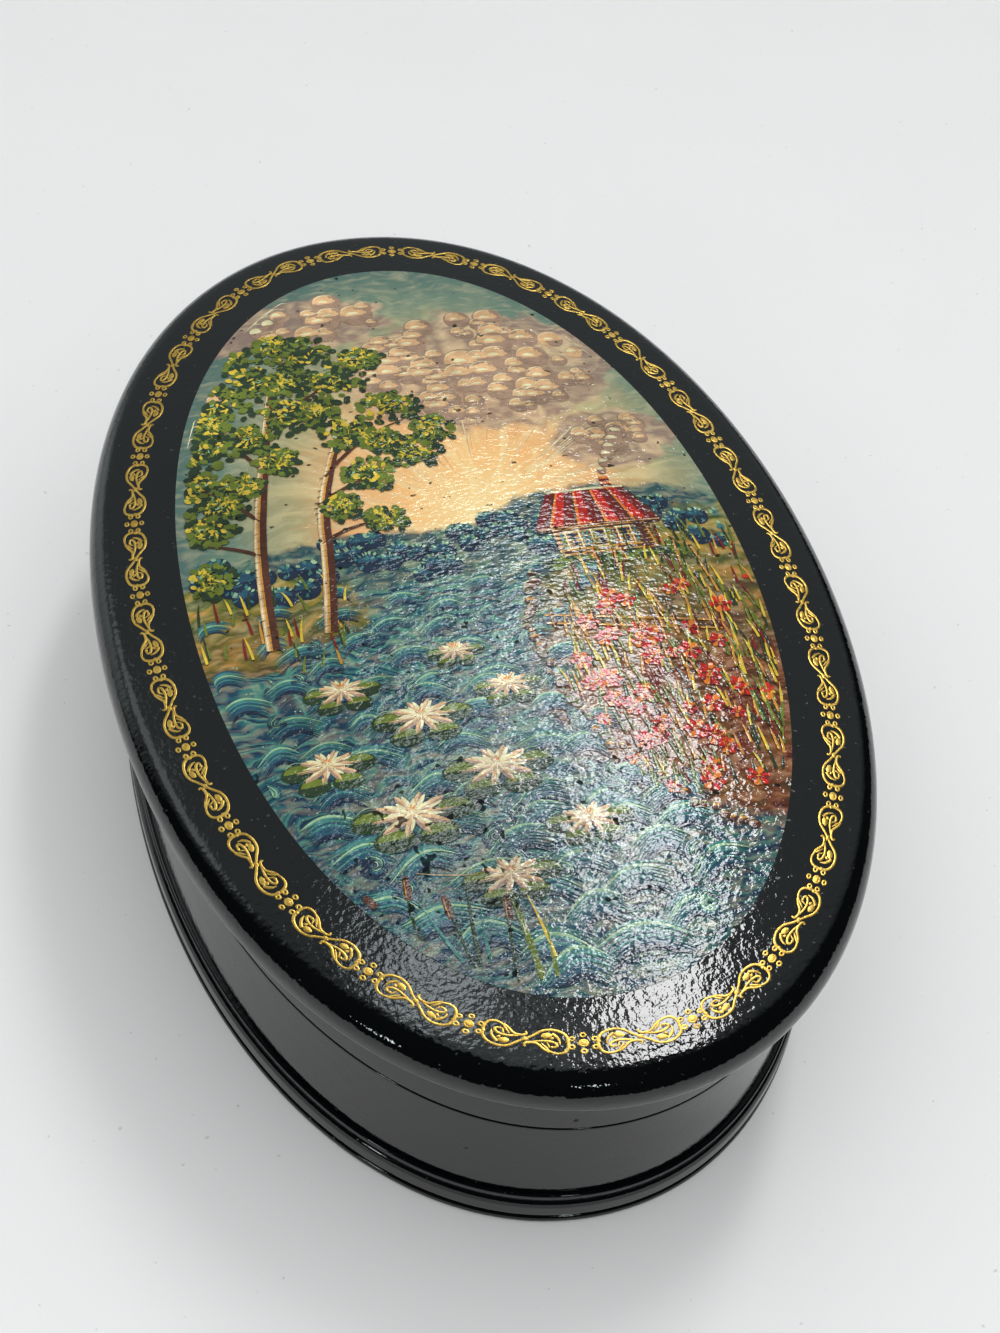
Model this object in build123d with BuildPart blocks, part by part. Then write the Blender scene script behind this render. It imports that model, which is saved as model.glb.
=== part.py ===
from build123d import *
import math
import os

os.makedirs("parts", exist_ok=True)

# Lacquered papier-mache box: an oval body on a stepped plinth, with a low-domed hinged lid.
# The origin is at the middle of the oval on the table. X is across the box, Y along it, Z up.

# Oval outline of the lid, the widest line of the box.
oval_length = 150.0
oval_width = 96.3
oval_fullness = 2.07  # exponent of the oval, a plain ellipse would be 2
outline_stations = 48

# Heights above the table.
foot_recess = 0.6
plinth_height = 5.6
seam_height = 21.4
seam_gap = 0.15
lid_edge_bottom = 32.3
lid_edge_top = 36.8

# Walls of wound paper.
lid_overhang = 3.9
wall_thickness = 3.2
liner_thickness = 1.4
lip_height = 2.6
lip_clearance = 0.3
seam_round = 0.2
lip_round = 0.45
bottom_thickness = 3.0

# Lid board.
edge_lower_round = 1.0
edge_upper_round = 3.2
dome_rise = 3.2
dome_skirt = 0.5
dome_margin = 0.2  # flat line round the foot of each dome
recess_step = 1.0
recess_rise = 2.6
picture_inset = 11.4
picture_thickness = 0.2

# Plinth moulding, from the table up: a small roll, a wide round and a fillet, reaching out from the wall.
roll_reach = 1.25
roll_height = 1.3
roll_round = 0.6
roll_flat = 0.1  # taken off the roll underneath, so that it stands flat
round_reach = 1.15
round_bottom = 0.95  # a little below the top of the roll, to be bedded in it
round_top = 4.8
round_radius = 1.2
fillet_reach = 0.6
fillet_round = 0.4

# Hinge in the middle of a long side, its pin at the height of the seam.
hinge_length = 30.0
hinge_depth = 0.8  # of the pin inside the face of the wall
knuckle_count = 5
knuckle_gap = 0.15
barrel_radius = 1.2
barrel_clearance = 0.15
pin_radius = 0.5
pin_clearance = 0.05
leaf_thickness = 0.4
leaf_reach = 6.5
slot_clearance = 0.05
pin_chamfer = 0.12

cut_overrun = 1.0

# Lines that follow from the sizes above.
half_length = oval_length / 2
half_width = oval_width / 2
wall_inset = lid_overhang
wall_inner_inset = wall_inset + wall_thickness
liner_inner_inset = wall_inner_inset + liner_thickness
rim_inner_inset = wall_inner_inset - lip_clearance
fillet_bottom = round_top - round_radius
bottom_top = foot_recess + bottom_thickness
liner_height = seam_height + lip_height - bottom_top
rim_bottom = seam_height + seam_gap
dome_inset = edge_upper_round + dome_margin
recess_base = lid_edge_bottom + recess_step
recess_inset = rim_inner_inset + dome_margin
hinge_x = hinge_depth + wall_inset - half_width
hinge_z = seam_height + seam_gap / 2
groove_radius = barrel_radius + barrel_clearance
knuckle_pitch = hinge_length / knuckle_count
leaf_middle = barrel_radius - leaf_thickness / 2
slot_width = leaf_thickness + 2 * slot_clearance
slot_reach = leaf_reach + slot_clearance
groove_half = hinge_length / 2 + barrel_clearance


def oval_points(inset):
    """Stations round the oval, moved inwards from the outline of the lid by the inset."""
    points = []
    for station in range(outline_stations):
        turn = 2 * math.pi * station / outline_stations
        east = math.cos(turn)
        north = math.sin(turn)
        x = half_width * math.copysign(abs(east) ** (2 / oval_fullness), east)
        y = half_length * math.copysign(abs(north) ** (2 / oval_fullness), north)
        slope_x = math.copysign(abs(x / half_width) ** (oval_fullness - 1) / half_width, x)
        slope_y = math.copysign(abs(y / half_length) ** (oval_fullness - 1) / half_length, y)
        steepness = math.hypot(slope_x, slope_y)
        points.append((x - inset * slope_x / steepness, y - inset * slope_y / steepness))
    return points


def dome(base, rise, inset, depth):
    """Solid oval lens: a low dome over the oval at this inset, with a skirt of the given depth."""
    reach = half_length - inset
    with BuildPart() as lens:
        with BuildSketch(Plane.XZ):
            with BuildLine():
                TangentArc((0, base + rise), (reach, base), tangent=(1, 0))
                Line((reach, base), (reach, base - depth))
                Line((reach, base - depth), (0, base - depth))
                Line((0, base - depth), (0, base + rise))
            make_face()
        revolve(axis=Axis.Z)
    return scale(lens.part, by=((half_width - inset) / reach, 1, 1))


def plinth_layer(low, high, reach, radius):
    """Section of one layer of the plinth, its outer corners rounded: x is out from the wall, y up."""
    with BuildSketch() as layer:
        with Locations(((reach - cut_overrun) / 2, (low + high) / 2)):
            Rectangle(reach + cut_overrun, high - low)
        fillet(layer.vertices().group_by(Axis.X)[-1], radius=radius)
    return layer.sketch


def hinge_plane(y):
    """Plane across the hinge line at y, its origin on the pin, local x inwards and local y up."""
    return Plane(origin=(hinge_x, y, hinge_z), x_dir=(1, 0, 0), z_dir=(0, -1, 0))


def knuckle_middles(first):
    """Middles of every other knuckle along the pin."""
    start = (knuckle_pitch - hinge_length) / 2
    return [start + knuckle_pitch * number for number in range(first, knuckle_count, 2)]


# Body wall: the upright oval tube of wound paper.
with BuildPart() as body_wall:
    with BuildSketch(Plane.XY.offset(foot_recess)):
        with BuildLine():
            Spline(*oval_points(wall_inset), periodic=True)
        make_face()
    extrude(amount=seam_height - foot_recess)
    fillet(body_wall.faces().sort_by(Axis.Z)[-1].edges(), radius=seam_round)
    with BuildSketch(Plane.XY.offset(foot_recess)):
        with BuildLine():
            Spline(*oval_points(wall_inner_inset), periodic=True)
        make_face()
    extrude(amount=seam_height - foot_recess, mode=Mode.SUBTRACT)
    # Groove for the hinge barrel and slot for the leaf.
    with BuildSketch(hinge_plane(0)):
        Circle(groove_radius)
        with Locations((leaf_middle, -slot_reach / 2)):
            Rectangle(slot_width, slot_reach)
    extrude(amount=groove_half, both=True, mode=Mode.SUBTRACT)
body_wall.part.label = "body_wall"

# Bottom board: the oval floor glued inside the wall.
with BuildPart() as bottom_board:
    with BuildSketch(Plane.XY.offset(foot_recess)):
        with BuildLine():
            Spline(*oval_points(wall_inner_inset), periodic=True)
        make_face()
    extrude(amount=bottom_thickness)
bottom_board.part.label = "bottom_board"

# Inner liner: the thin tube whose top stands over the seam as a lip.
with BuildPart() as inner_liner:
    with BuildSketch(Plane.XY.offset(bottom_top)):
        with BuildLine():
            Spline(*oval_points(wall_inner_inset), periodic=True)
        make_face()
        with BuildLine():
            Spline(*oval_points(liner_inner_inset), periodic=True)
        make_face(mode=Mode.SUBTRACT)
    extrude(amount=liner_height)
    fillet(inner_liner.faces().sort_by(Axis.Z)[-1].edges(), radius=lip_round)
inner_liner.part.label = "inner_liner"

# Plinth moulding: the section of its three layers, swept round the wall and cut back to the face of it.
with BuildPart() as plinth_moulding:
    with BuildLine() as wall_line:
        Spline(*oval_points(wall_inset), periodic=True)
    with BuildSketch(Plane(origin=(half_width - wall_inset, 0, 0), x_dir=(1, 0, 0), z_dir=(0, -1, 0))):
        add(plinth_layer(-roll_flat, roll_height, roll_reach, roll_round))
        add(plinth_layer(round_bottom, round_top, round_reach, round_radius))
        add(plinth_layer(fillet_bottom, plinth_height, fillet_reach, fillet_round))
    sweep(path=wall_line.wires()[0])
    split(bisect_by=Plane.XY, keep=Keep.TOP)
    with BuildSketch():
        with BuildLine():
            Spline(*oval_points(wall_inset), periodic=True)
        make_face()
    extrude(amount=plinth_height, mode=Mode.SUBTRACT)
plinth_moulding.part.label = "plinth_moulding"

# Lid board: a rounded edge round a low-domed field, hollowed underneath.
field_dome = dome(lid_edge_top, dome_rise, dome_inset, dome_skirt)
recess_dome = dome(recess_base, recess_rise, recess_inset, recess_step)

with BuildPart() as lid_board:
    with BuildSketch(Plane.XY.offset(lid_edge_bottom)):
        with BuildLine():
            Spline(*oval_points(0), periodic=True)
        make_face()
    extrude(amount=lid_edge_top - lid_edge_bottom)
    fillet(lid_board.faces().sort_by(Axis.Z)[-1].edges(), radius=edge_upper_round)
    fillet(lid_board.faces().sort_by(Axis.Z)[0].edges(), radius=edge_lower_round)
    add(field_dome)
    with BuildSketch(Plane.XY.offset(lid_edge_bottom)):
        with BuildLine():
            Spline(*oval_points(rim_inner_inset), periodic=True)
        make_face()
    extrude(amount=recess_step, mode=Mode.SUBTRACT)
    add(recess_dome, mode=Mode.SUBTRACT)
lid_board.part.label = "lid_board"

# Painted ground: the oval paint layer lying on the domed field.
with BuildPart() as painted_ground:
    with BuildSketch(Plane.XY.offset(lid_edge_top)):
        with BuildLine():
            Spline(*oval_points(picture_inset), periodic=True)
        make_face()
    extrude(amount=dome_rise + cut_overrun)
    add(Pos(0, 0, picture_thickness) * field_dome, mode=Mode.INTERSECT)
    add(field_dome, mode=Mode.SUBTRACT)
painted_ground.part.label = "painted_ground"

# Lid rim: the band that meets the body wall at the seam.
with BuildPart() as lid_rim:
    with BuildSketch(Plane.XY.offset(rim_bottom)):
        with BuildLine():
            Spline(*oval_points(wall_inset), periodic=True)
        make_face()
    extrude(amount=lid_edge_bottom - rim_bottom)
    fillet(lid_rim.faces().sort_by(Axis.Z)[0].edges(), radius=seam_round)
    with BuildSketch(Plane.XY.offset(rim_bottom)):
        with BuildLine():
            Spline(*oval_points(rim_inner_inset), periodic=True)
        make_face()
    extrude(amount=lid_edge_bottom - rim_bottom, mode=Mode.SUBTRACT)
    # Groove for the hinge barrel and slot for the leaf.
    with BuildSketch(hinge_plane(0)):
        Circle(groove_radius)
        with Locations((leaf_middle, slot_reach / 2)):
            Rectangle(slot_width, slot_reach)
    extrude(amount=groove_half, both=True, mode=Mode.SUBTRACT)
lid_rim.part.label = "lid_rim"

# Hinge leaf of the body: a plate let into the wall and its outer and middle knuckles, tight on the pin.
with BuildPart() as hinge_leaf_body:
    with BuildSketch(hinge_plane(0)):
        with Locations((leaf_middle, -(groove_radius + leaf_reach) / 2)):
            Rectangle(leaf_thickness, leaf_reach - groove_radius)
    extrude(amount=hinge_length / 2, both=True)
    for middle in knuckle_middles(0):
        with BuildSketch(hinge_plane(middle)):
            Circle(barrel_radius)
            with Locations((leaf_middle, -leaf_reach / 2)):
                Rectangle(leaf_thickness, leaf_reach)
            Circle(pin_radius, mode=Mode.SUBTRACT)
        extrude(amount=(knuckle_pitch - knuckle_gap) / 2, both=True)
hinge_leaf_body.part.label = "hinge_leaf_body"

# Hinge leaf of the lid: the same plate upwards, its knuckles turning freely on the pin.
with BuildPart() as hinge_leaf_lid:
    with BuildSketch(hinge_plane(0)):
        with Locations((leaf_middle, (groove_radius + leaf_reach) / 2)):
            Rectangle(leaf_thickness, leaf_reach - groove_radius)
    extrude(amount=hinge_length / 2, both=True)
    for middle in knuckle_middles(1):
        with BuildSketch(hinge_plane(middle)):
            Circle(barrel_radius)
            with Locations((leaf_middle, leaf_reach / 2)):
                Rectangle(leaf_thickness, leaf_reach)
            Circle(pin_radius + pin_clearance, mode=Mode.SUBTRACT)
        extrude(amount=(knuckle_pitch - knuckle_gap) / 2, both=True)
hinge_leaf_lid.part.label = "hinge_leaf_lid"

# Hinge pin: a plain brass wire through all the knuckles.
with BuildPart() as hinge_pin:
    with BuildSketch(hinge_plane(0)):
        Circle(pin_radius)
    extrude(amount=(hinge_length - knuckle_gap) / 2, both=True)
    chamfer(hinge_pin.edges().filter_by(GeomType.CIRCLE), length=pin_chamfer)
hinge_pin.part.label = "hinge_pin"

export_step(body_wall.part, "parts/body_wall.step")
export_step(bottom_board.part, "parts/bottom_board.step")
export_step(inner_liner.part, "parts/inner_liner.step")
export_step(plinth_moulding.part, "parts/plinth_moulding.step")
export_step(lid_board.part, "parts/lid_board.step")
export_step(painted_ground.part, "parts/painted_ground.step")
export_step(lid_rim.part, "parts/lid_rim.step")
export_step(hinge_leaf_body.part, "parts/hinge_leaf_body.step")
export_step(hinge_leaf_lid.part, "parts/hinge_leaf_lid.step")
export_step(hinge_pin.part, "parts/hinge_pin.step")
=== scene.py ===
import math
import random

import bpy
from mathutils import Matrix, Vector


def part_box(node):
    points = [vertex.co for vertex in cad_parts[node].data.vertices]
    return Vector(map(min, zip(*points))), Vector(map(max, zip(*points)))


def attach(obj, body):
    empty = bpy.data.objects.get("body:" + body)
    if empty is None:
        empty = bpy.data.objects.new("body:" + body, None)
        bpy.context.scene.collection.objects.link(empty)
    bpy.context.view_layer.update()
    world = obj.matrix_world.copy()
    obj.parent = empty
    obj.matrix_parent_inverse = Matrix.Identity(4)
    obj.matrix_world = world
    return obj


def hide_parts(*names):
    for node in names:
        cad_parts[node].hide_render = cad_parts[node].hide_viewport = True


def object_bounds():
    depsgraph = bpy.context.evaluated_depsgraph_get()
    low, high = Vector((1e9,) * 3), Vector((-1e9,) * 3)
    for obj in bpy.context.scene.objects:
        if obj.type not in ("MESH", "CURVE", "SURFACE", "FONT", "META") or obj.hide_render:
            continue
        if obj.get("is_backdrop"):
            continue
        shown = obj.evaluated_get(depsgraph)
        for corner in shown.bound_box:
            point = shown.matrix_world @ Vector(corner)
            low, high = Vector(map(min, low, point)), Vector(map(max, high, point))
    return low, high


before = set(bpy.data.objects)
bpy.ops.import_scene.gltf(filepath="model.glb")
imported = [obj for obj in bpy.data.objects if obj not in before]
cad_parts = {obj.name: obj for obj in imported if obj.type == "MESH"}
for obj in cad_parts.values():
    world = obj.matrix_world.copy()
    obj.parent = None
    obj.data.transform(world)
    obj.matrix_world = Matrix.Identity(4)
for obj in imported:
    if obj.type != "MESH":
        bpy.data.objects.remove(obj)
cad_low, cad_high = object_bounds()
mm = 0.001

# The camera stands over the near left corner of the box and looks down at its far right, close
# enough for the near end of the lid to look much wider than the far end, and is rolled a little.
camera_place = Vector((-58.8, -167.7, 226.3)) * mm
camera_azimuth, camera_elevation, camera_roll = 20.92, 49.14, 6.78
camera_lens = 54.0

camera_data = bpy.data.cameras.new("camera")
camera_data.lens = camera_lens
camera_data.clip_start = 10 * mm
camera = bpy.data.objects.new("camera", camera_data)
bpy.context.scene.collection.objects.link(camera)
camera.matrix_world = (
    Matrix.Translation(camera_place)
    @ Matrix.Rotation(math.radians(-camera_azimuth), 4, "Z")
    @ Matrix.Rotation(math.radians(90 - camera_elevation), 4, "X")
    @ Matrix.Rotation(math.radians(camera_roll), 4, "Z")
)
bpy.context.scene.camera = camera
bpy.context.scene.view_settings.view_transform = "Standard"

# The table is a pale matt sheet, faintly mottled, that runs on out of the picture on every side. It
# is a little paler towards the camera, where the light in the photograph is stronger.
table_reach = 3.0
towards_camera = camera_place.xy.normalized().to_3d()
fade_middle, fade_reach = -0.06, 0.3  # metres towards the camera from the middle of the box


class Wire:
    """One output of a shader node. Sums can be written with it, and each adds its Math node."""

    def __init__(self, socket):
        self.socket = socket
        self.tree = socket.id_data

    def math(self, operation, *others, clamp=False):
        settings = {"operation": operation, "use_clamp": clamp}
        return shade(self.tree, "ShaderNodeMath", settings, self, *others)

    def __add__(self, other):
        return self.math("ADD", other)

    __radd__ = __add__

    def __sub__(self, other):
        return self.math("SUBTRACT", other)

    def __rsub__(self, other):
        return (self * -1) + other

    def __mul__(self, other):
        return self.math("MULTIPLY", other)

    __rmul__ = __mul__

    def __truediv__(self, other):
        return self.math("DIVIDE", other)

    def __rtruediv__(self, other):
        return self.math("POWER", -1.0) * other

    def __pow__(self, other):
        return self.math("POWER", other)

    def above(self, edge, softness):
        """0 below the edge and 1 above it, with a soft step between."""
        return ((self - edge) / softness + 0.5).clamped()

    def clamped(self):
        """Held between 0 and 1."""
        return self.math("ADD", 0.0, clamp=True)

    def or_more(self, other):
        """The larger of two values."""
        return self.math("MAXIMUM", other)


def shade(tree, kind, settings, *values, pick=0, **named):
    """Adds a node: its settings first, then what goes into its sockets, in order or by name. Gives
    the output picked."""
    node = tree.nodes.new(kind)
    for key, value in settings.items():
        if key == "stops":
            ramp = node.color_ramp
            while len(ramp.elements) < len(value):
                ramp.elements.new(0.5)
            for element, (position, colour) in zip(ramp.elements, value):
                element.position = position
                element.color = (*colour, 1.0)
        else:
            setattr(node, key, value)
    filled = list(zip(node.inputs, values))
    filled += [(node.inputs[key.replace("_", " ")], value) for key, value in named.items()]
    for socket, value in filled:
        if isinstance(value, Wire):
            tree.links.new(value.socket, socket)
        elif value is not None:
            if socket.type == "RGBA" and len(value) == 3:
                value = (*value, 1.0)
            socket.default_value = value
    return Wire(node.outputs[pick])


def mix(amount, first, second):
    """Mixes two colours by a share from 0 to 1. A Mix node has its colours at inputs 6 and 7, and
    the mixed one at output 2."""
    values = (amount, *[None] * 5, first, second)
    return shade(amount.tree, "ShaderNodeMix", {"data_type": "RGBA"}, *values, pick=2)


def noise(place, scale, detail=2.0, **named):
    """Soft cloudy noise from 0 to 1; scale is in waves to the metre."""
    named |= {"Vector": place, "Scale": scale, "Detail": detail}
    return shade(place.tree, "ShaderNodeTexNoise", {}, **named)


def vector_math(operation, first, second, pick=0):
    """One operation on two vectors. Those that give a number have it at output 1."""
    settings = {"operation": operation}
    return shade(first.tree, "ShaderNodeVectorMath", settings, first, second, pick=pick)


def new_material(name):
    """An empty material, and the object coordinates in it."""
    material = bpy.data.materials.new(name)
    material.use_nodes = True
    material.node_tree.nodes.clear()
    return material, shade(material.node_tree, "ShaderNodeTexCoord", {}, pick=3)


def surface(material, **sockets):
    """The Principled surface of a material; uniform values are set on its own sockets."""
    tree = material.node_tree
    output = tree.nodes.new("ShaderNodeOutputMaterial")
    finish = shade(tree, "ShaderNodeBsdfPrincipled", {}, **sockets)
    tree.links.new(finish.socket, output.inputs["Surface"])

bpy.ops.object.select_all(action="DESELECT")
bpy.ops.mesh.primitive_plane_add(size=2 * table_reach, location=(0, 0, 0))
table = bpy.context.object
table.name = "table"
bpy.ops.object.transform_apply(location=True)
material, place = new_material("pale_table")
mottle = noise(place, 35.0, detail=4.0)
specks = noise(place, 900.0, detail=1.0)
nearness = vector_math("DOT_PRODUCT", place, towards_camera, pick=1)
far_tone = mix(mottle, (0.792, 0.802, 0.802), (0.82, 0.82, 0.82))
near_tone = mix(mottle, (0.93, 0.94, 0.94), (0.96, 0.96, 0.96))
tone = mix(nearness.above(fade_middle, fade_reach), far_tone, near_tone)
tone = mix(specks.above(0.78, 0.03) * 0.35, tone, (0.35, 0.36, 0.37))
surface(material, Base_Color=tone, Roughness=0.6)
table.data.materials.append(material)
table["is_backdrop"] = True

# Plain soft light falls from all round, more of it from above. The lacquer mirrors a room instead:
# dim over most of the sky, dark above the camera, with a bright doorway on the left and small panes
# of glass that give the sparkles along the rounded edges.
world = bpy.data.worlds.new("room")
bpy.context.scene.world = world
world.use_nodes = True
tree = world.node_tree
ray = shade(tree, "ShaderNodeTexCoord", {})
mirrored = shade(tree, "ShaderNodeLightPath", {}, pick=3)


def sky_patch(turn, rise, reach, softness):
    """1 within a round patch of the sky and 0 outside it, with a soft edge. Its turn from +Y, its
    rise and its reach are in degrees."""
    turn, rise = math.radians(turn), math.radians(rise)
    way = (math.cos(rise) * math.sin(turn), math.cos(rise) * math.cos(turn), math.sin(rise))
    facing = vector_math("DOT_PRODUCT", ray, way, pick=1)
    return facing.above(math.cos(math.radians(reach)), softness)


overhead = vector_math("DOT_PRODUCT", ray, (0, 0, 1), pick=1)
light_from_above, light_all_round = 0.984, 0.164
soft_light = overhead.or_more(0.0) * light_from_above + light_all_round
camera_side = sky_patch(201, 60, 48, 0.12)
room_light, dim_light = 0.34, 0.01
room = sky_patch(3, 38, 48, 0.2) * (1 - camera_side) * room_light + dim_light
doorway = sky_patch(-36, 48, 11, 0.02) * 0.9 + sky_patch(-40, 12, 18, 0.05) * 0.6
pane_edge = 0.0012
panes = [  # turn, rise and reach in degrees, and brightness
    (23, 51, 3.6, 9),
    (31, 50, 3.8, 14),
    (17, 57, 2.8, 6),
    (15, 61.5, 2.8, 5),
    (12, 66.5, 3.2, 3.5),
    (3, 68.5, 2.4, 2),
    (18, 73, 7, 0.5),
    (-118, 25, 2.5, 18),
    (177, 46, 2, 18),
]
for turn, rise, reach, brightness in panes:
    room = room + sky_patch(turn, rise, reach, pane_edge) * brightness
strength = mirrored * (room + doorway) + (1 - mirrored) * soft_light
soft_tint, mirrored_tint = (0.98, 0.985, 0.99), (0.89, 0.98, 1.0)
tint = mix(mirrored, soft_tint, mirrored_tint)
backdrop = tree.nodes["Background"]
tree.links.new(tint.socket, backdrop.inputs["Color"])
tree.links.new(strength.socket, backdrop.inputs["Strength"])

# The window is one tall lamp beyond the far right of the box, tilted a little. Its image lies as a
# veil over the near right of the lid.
window_turn, window_rise = math.radians(40.5), math.radians(59.2)
window_tilt = math.radians(18)
window_distance = 1.25
window_aim = Vector((0.005, -0.05, 0.04))
window_way = Vector((math.sin(window_turn), math.cos(window_turn), math.tan(window_rise)))
window_way.normalize()
window_size = (0.135, 0.47)
window_brightness = 14  # watts to the square metre and steradian
window_data = bpy.data.lights.new("window", "AREA")
window_data.shape = "RECTANGLE"
window_data.size, window_data.size_y = window_size
window_data.energy = window_brightness * math.pi * window_size[0] * window_size[1]
window = bpy.data.objects.new("window", window_data)
bpy.context.scene.collection.objects.link(window)
window_place = Matrix.Translation(window_aim + window_way * window_distance)
window_facing = window_way.to_track_quat("Z", "Y").to_matrix().to_4x4()
window.matrix_world = window_place @ window_facing @ Matrix.Rotation(window_tilt, 4, "Z")

# The upright wall of the body: an oval tube of wound paper, lacquered black and polished. Every
# oval piece starts as one drawn ring, which is extruded and resized along the piece's section.
shy = 0.003 * mm  # keeps the ovals just within the CAD's reach
half_width, half_length = cad_high.x - shy, cad_high.y - shy
oval_handle = 0.5745  # length of the drawing handles, a little over an ellipse's
points_per_quarter = 56
wall_low, wall_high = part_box("body_wall")
wall_inset = half_width - wall_high.x
wall_thickness = 3.2 * mm
wall_inner_inset = wall_inset + wall_thickness
seam_round = 0.3 * mm
groove_reach = 1.5 * mm  # the hinge groove stays within this of the seam
crisp_angle = 40  # degrees


def ring(inset, height):
    """One station of a section: the half axes of the oval there, and its height."""
    return half_width - inset, half_length - inset, height


def arc(inset, height, radius, start, end, steps):
    """Stations round a centre, by angle from straight out, turning upwards."""
    stations = []
    for step in range(steps + 1):
        turn = math.radians(start + (end - start) * step / steps)
        stations.append(ring(inset - radius * math.cos(turn), height + radius * math.sin(turn)))
    return stations


def draw_oval(resolution):
    """Draws a circle with the oval's handles, which becomes the oval when it is scaled."""
    bpy.ops.object.select_all(action="DESELECT")
    bpy.ops.curve.primitive_bezier_circle_add(radius=1.0)
    drawn = bpy.context.object
    drawn.data.resolution_u = resolution
    for point in drawn.data.splines[0].bezier_points:
        point.handle_left_type = point.handle_right_type = "FREE"
        for handle in ("handle_left", "handle_right"):
            reach = getattr(point, handle) - point.co
            setattr(point, handle, point.co + reach.normalized() * oval_handle)
    return drawn


def take(piece):
    """Makes a piece the only one selected, and the active one."""
    bpy.ops.object.select_all(action="DESELECT")
    piece.select_set(True)
    bpy.context.view_layer.objects.active = piece


def oval_piece(name, section, closed):
    """Runs a section round the oval. A closed one is a ring, an open one ends in two poles."""
    drawn = draw_oval(points_per_quarter)
    drawn.data.dimensions = "2D"
    drawn.data.fill_mode = "NONE"
    bpy.ops.object.convert(target="MESH")
    piece = bpy.context.object
    piece.name = name
    wide, long, height = section[0]
    bpy.ops.object.mode_set(mode="EDIT")
    bpy.ops.mesh.select_all(action="SELECT")
    bpy.ops.mesh.remove_doubles(threshold=0.1 * mm)  # the drawn circle is two metres wide here
    bpy.ops.transform.resize(value=(wide, long, 1))
    bpy.ops.transform.translate(value=(0, 0, height))
    for next_wide, next_long, next_height in section[1:]:
        climb = {"value": (0, 0, next_height - height)}
        bpy.ops.mesh.extrude_edges_move(TRANSFORM_OT_translate=climb)
        bpy.ops.transform.resize(value=(next_wide / wide, next_long / long, 1))
        wide, long, height = next_wide, next_long, next_height
    if closed:
        bpy.ops.mesh.select_all(action="DESELECT")
        bpy.ops.mesh.select_non_manifold()
        bpy.ops.mesh.bridge_edge_loops()
    else:
        bpy.ops.mesh.merge(type="CENTER")
        bpy.ops.mesh.select_all(action="DESELECT")
        bpy.ops.mesh.select_non_manifold()
        bpy.ops.mesh.merge(type="CENTER")
    bpy.ops.mesh.select_all(action="SELECT")
    bpy.ops.mesh.normals_make_consistent(inside=False)
    bpy.ops.object.mode_set(mode="OBJECT")
    bpy.ops.object.shade_smooth()
    return piece


def finish_piece(piece, material, body, slot, *nodes):
    """Keeps the corners crisp, lets the broad faces rule the shading, ties the piece to its body,
    and hides the CAD nodes that it stands in for."""
    take(piece)
    bpy.ops.object.mode_set(mode="EDIT")
    bpy.ops.mesh.select_all(action="DESELECT")
    bpy.ops.mesh.edges_select_sharp(sharpness=math.radians(crisp_angle))
    bpy.ops.mesh.mark_sharp()
    bpy.ops.object.mode_set(mode="OBJECT")
    piece.modifiers.new("broad_faces", "WEIGHTED_NORMAL").keep_sharp = True
    bpy.ops.object.modifier_apply(modifier="broad_faces")
    piece.data.materials.clear()
    piece.data.materials.append(material)
    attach(piece, body)
    if nodes:
        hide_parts(*nodes)


def cut(piece, cutter):
    """Takes one mesh out of another."""
    difference = piece.modifiers.new("cut", "BOOLEAN")
    difference.operation = "DIFFERENCE"
    difference.object = cutter
    take(piece)
    bpy.ops.object.modifier_apply(modifier="cut")


def hinge_groove():
    """The round channel that the hinge barrel lies in, as a solid to cut with."""
    low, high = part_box("hinge_leaf_body")
    pin_low, pin_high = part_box("hinge_pin")
    barrel = 1.2 * mm
    clearance = 0.15 * mm
    bpy.ops.object.select_all(action="DESELECT")
    bpy.ops.mesh.primitive_cylinder_add(
        vertices=48,
        radius=barrel + clearance,
        depth=high.y - low.y + 2 * clearance,
        location=(pin_low + pin_high) / 2,
        rotation=(math.pi / 2, 0, 0),
    )
    return bpy.context.object


def relief(strength, depth, height):
    """The normal over an uneven surface; depth is in metres."""
    sockets = {"Strength": strength, "Distance": depth, "Height": height}
    return shade(height.tree, "ShaderNodeBump", {}, **sockets)


def black_lacquer(name, chips=(), unevenness=0.26):
    """Polished black lacquer: an orange peel, dust, and chips where named."""
    material, place = new_material(name)
    cloud = noise(place, 60.0, detail=3.0)
    dust = noise(place, 1500.0, detail=1.0)
    peel = noise(place, 1250.0, detail=2.0, Roughness=0.5)
    wave = noise(place, 180.0, detail=1.0)
    colour = mix(cloud, (0.001, 0.0016, 0.002), (0.0026, 0.0034, 0.004))
    colour = mix(dust.above(0.77, 0.03) * 0.5, colour, (0.06, 0.06, 0.06))
    rough = cloud * 0.05 + dust.above(0.74, 0.04) * 0.25 + 0.035
    height = peel * 0.5 + wave * 0.8
    for chip_place, size in chips:
        size *= mm
        away = vector_math("DISTANCE", place, tuple(Vector(chip_place) * mm), pick=1)
        chip = 1 - (away + (peel - 0.5) * size).above(size, size * 0.3)
        colour = mix(chip, colour, (0.004, 0.003, 0.003))
        rough = rough + chip * 0.8
        height = height - chip * 2.0
    bump = relief(unevenness, 0.15 * mm, height)
    surface(material, Base_Color=colour, Roughness=rough, Normal=bump, IOR=1.6)
    return material


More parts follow.
